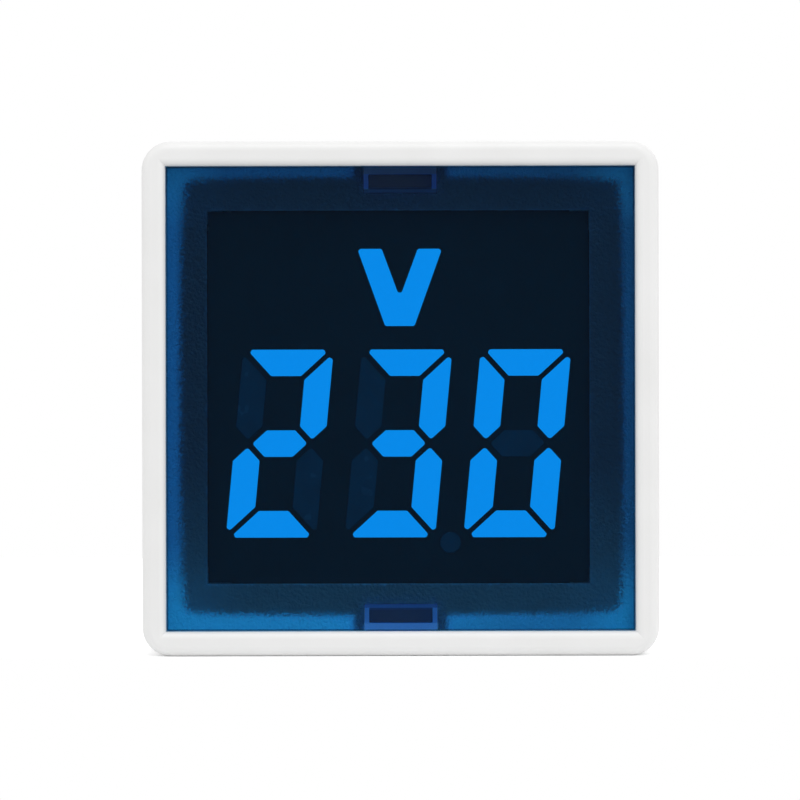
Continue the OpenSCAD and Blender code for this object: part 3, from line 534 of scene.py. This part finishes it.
def studio_world():
    """White room: camera rays see plain white, mirror rays a room and other rays a soft light.

    The room is dark behind the camera, and its brightness rises with the direction's Y. The soft light
    follows the direction's Z through the heights of the sky."""
    world = bpy.data.worlds.new("studio")
    bpy.context.scene.world = world
    mix = Graph(world)
    view = mix.add("ShaderNodeTexCoord").outputs["Generated"]
    way = mix.add("ShaderNodeSeparateXYZ", {0: view}).outputs
    room = mix.span(way["Y"], *ROOM_LIGHT, *ROOM_WAYS, smooth=True)
    height = mix.span(way["Z"], 0.0, 1.0, -1.0, 1.0)
    ramp = mix.add("ShaderNodeValToRGB", {0: height})
    stops = ramp.color_ramp.elements
    while len(stops) < len(SKY):
        stops.new(0.5)
    for stop, (z, light) in zip(stops, SKY):
        stop.position = (z + 1.0) / 2.0
        stop.color = (light, light, light, 1.0)
    rays = mix.add("ShaderNodeLightPath").outputs
    sockets = {"Factor": rays["Is Glossy Ray"], "A": ramp.outputs[0], "B": room}
    mirrored = mix.add("ShaderNodeMix", sockets).outputs[0]
    strength = mix.math("MAXIMUM", mirrored, rays["Is Camera Ray"])
    background = mix.add("ShaderNodeBackground", {"Color": (1.0, 1.0, 1.0, 1.0), "Strength": strength})
    mix.add("ShaderNodeOutputWorld", {"Surface": background.outputs[0]})


def softbox(name, towards, distance, share):
    """Square lamp that faces the case.

    Share is the brightness that it alone gives a white face turned to it: power is share times pi squared
    times the distance squared."""
    lamp = bpy.data.lights.new(name, "AREA")
    lamp.shape = "SQUARE"
    lamp.size = LAMP_SIZE
    lamp.energy = share * math.pi**2 * distance**2
    box = bpy.data.objects.new(name, lamp)
    way = Vector(towards).normalized()
    box.location = Vector((0.0, FRONT_Y, 0.0)) + way * distance
    box.rotation_euler = way.to_track_quat("Z", "Y").to_euler()
    bpy.context.scene.collection.objects.link(box)


def camera():
    """Level camera straight in front, at the scale and place that the photograph gives the case."""
    eye = bpy.data.cameras.new("photo_camera")
    eye.sensor_width = SENSOR_MM
    eye.lens = SENSOR_MM * CAMERA_DISTANCE / (IMAGE_PX * METRES_PER_PX)
    seen_from = bpy.data.objects.new("photo_camera", eye)
    right = (IMAGE_PX / 2 - CASE_MIDDLE_PX[0]) * METRES_PER_PX
    up = (CASE_MIDDLE_PX[1] - IMAGE_PX / 2) * METRES_PER_PX
    seen_from.location = (right, FRONT_Y - CAMERA_DISTANCE, up)
    seen_from.rotation_euler = (math.pi / 2, CAMERA_ROLL, 0.0)
    bpy.context.scene.collection.objects.link(seen_from)
    bpy.context.scene.camera = seen_from


# Case, lens and display
dress(moulded("abs_white", (0.785, 0.785, 0.78), (0.81, 0.81, 0.808)), "front_case", "rear_cover")
dress(lens_finish(), "lens")
dress(
    moulded("display_black", (0.045, 0.05, 0.038), (0.05, 0.055, 0.042), rough=(0.5, 0.6)),
    "display_housing",
)
dress(lit_resin(), "lit_segments", "volt_sign")
dress(
    glossy_coat("resin_dark", (0.05, 0.147, 0.142), (0.058, 0.165, 0.16)),
    "dark_segments",
    "decimal_point",
)

# Metal pieces and the clamp
dress(
    plated("pin_nickel", (0.66, 0.645, 0.61), (0.72, 0.705, 0.67), (0.2, 0.34), run=(0.1, 1.0, 0.1)),
    "live_pin",
    "neutral_pin",
    "display_leads",
)
dress(plated("screw_zinc", (0.5, 0.5, 0.52), (0.6, 0.6, 0.62), (0.28, 0.45)), "cover_screws", "clamp_screw")
dress(moulded("clamp_black", (0.018, 0.018, 0.02), (0.024, 0.024, 0.026)), "pin_clamp")

# Board, its parts and the wires
dress(board_finish(), "main_board")
dress(glossy_coat("film_box_yellow", (0.7, 0.45, 0.04), (0.78, 0.52, 0.06)), "film_capacitor")
dress(glossy_coat("can_sleeve_blue", (0.016, 0.02, 0.045), (0.02, 0.026, 0.06)), "smoothing_capacitor")
dress(glossy_coat("varistor_blue", (0.015, 0.08, 0.27), (0.025, 0.1, 0.33)), "varistor")
dress(glossy_coat("resistor_green", (0.18, 0.33, 0.22), (0.22, 0.39, 0.26)), "fusible_resistor")
dress(
    moulded("epoxy_black", (0.011, 0.011, 0.012), (0.015, 0.015, 0.017), rough=(0.45, 0.6)),
    "bridge_rectifier",
    "zener_diode",
    "meter_chip",
    "chip_resistors",
)
dress(moulded("fired_tan", (0.33, 0.2, 0.1), (0.39, 0.24, 0.12)), "chip_capacitors")
dress(moulded("insulation_brown", (0.14, 0.05, 0.017), (0.18, 0.07, 0.024)), "live_wire")
dress(moulded("insulation_blue", (0.017, 0.07, 0.36), (0.024, 0.09, 0.44)), "neutral_wire")

# Studio
floor()
studio_world()
for lamp in LAMPS:
    softbox(*lamp)
camera()
bpy.context.scene.view_settings.view_transform = "Standard"
